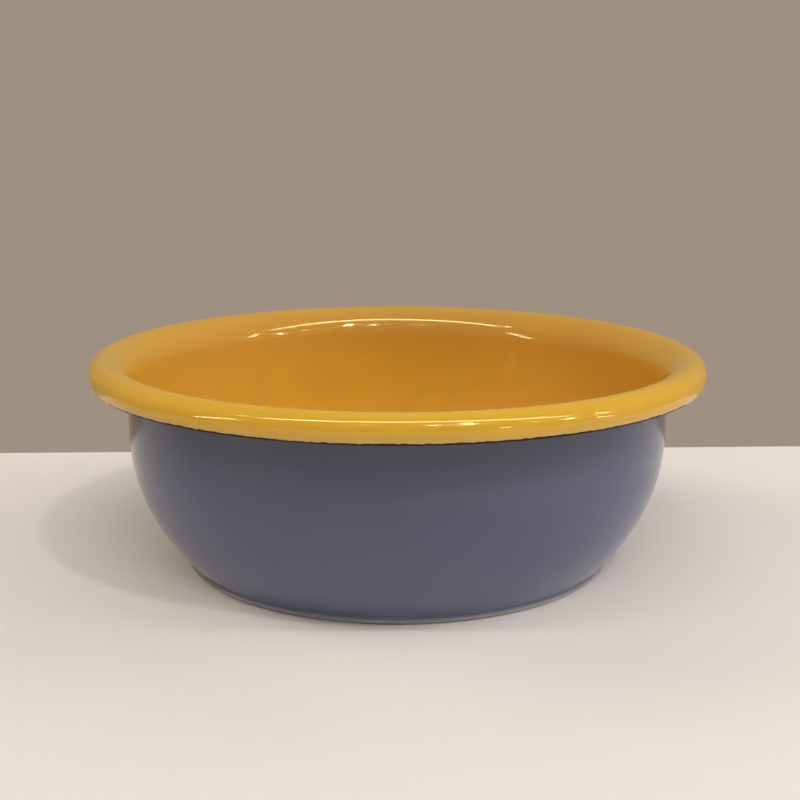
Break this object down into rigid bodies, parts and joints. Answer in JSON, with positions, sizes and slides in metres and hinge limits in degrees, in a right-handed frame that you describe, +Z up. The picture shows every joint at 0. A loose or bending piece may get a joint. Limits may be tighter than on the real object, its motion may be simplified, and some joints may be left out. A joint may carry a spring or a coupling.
{
  "type": "enamel bowl",
  "caption": "Round enamelled steel bowl with a deep curved wall, a wide rolled rim and a low stepped foot, yellow inside and slate blue outside, to hold food.",
  "frame": {"origin": "on the table, at the middle of the foot", "axes": "+Z up along the bowl's axis; X and Y lie in the table, and the bowl is the same all round"},
  "size_m": [0.1594, 0.1594, 0.0551],
  "materials": {
    "blue_enamel": "gloss",
    "yellow_enamel": "gloss",
    "ground_enamel": "gloss",
    "steel": "satin"
  },
  "bodies": {
    "root": {"blue_cover_coat": "blue_enamel", "outer_ground_coat": "ground_enamel", "steel_shell": "steel", "inner_ground_coat": "ground_enamel", "yellow_cover_coat": "yellow_enamel"}
  },
  "joints": []
}
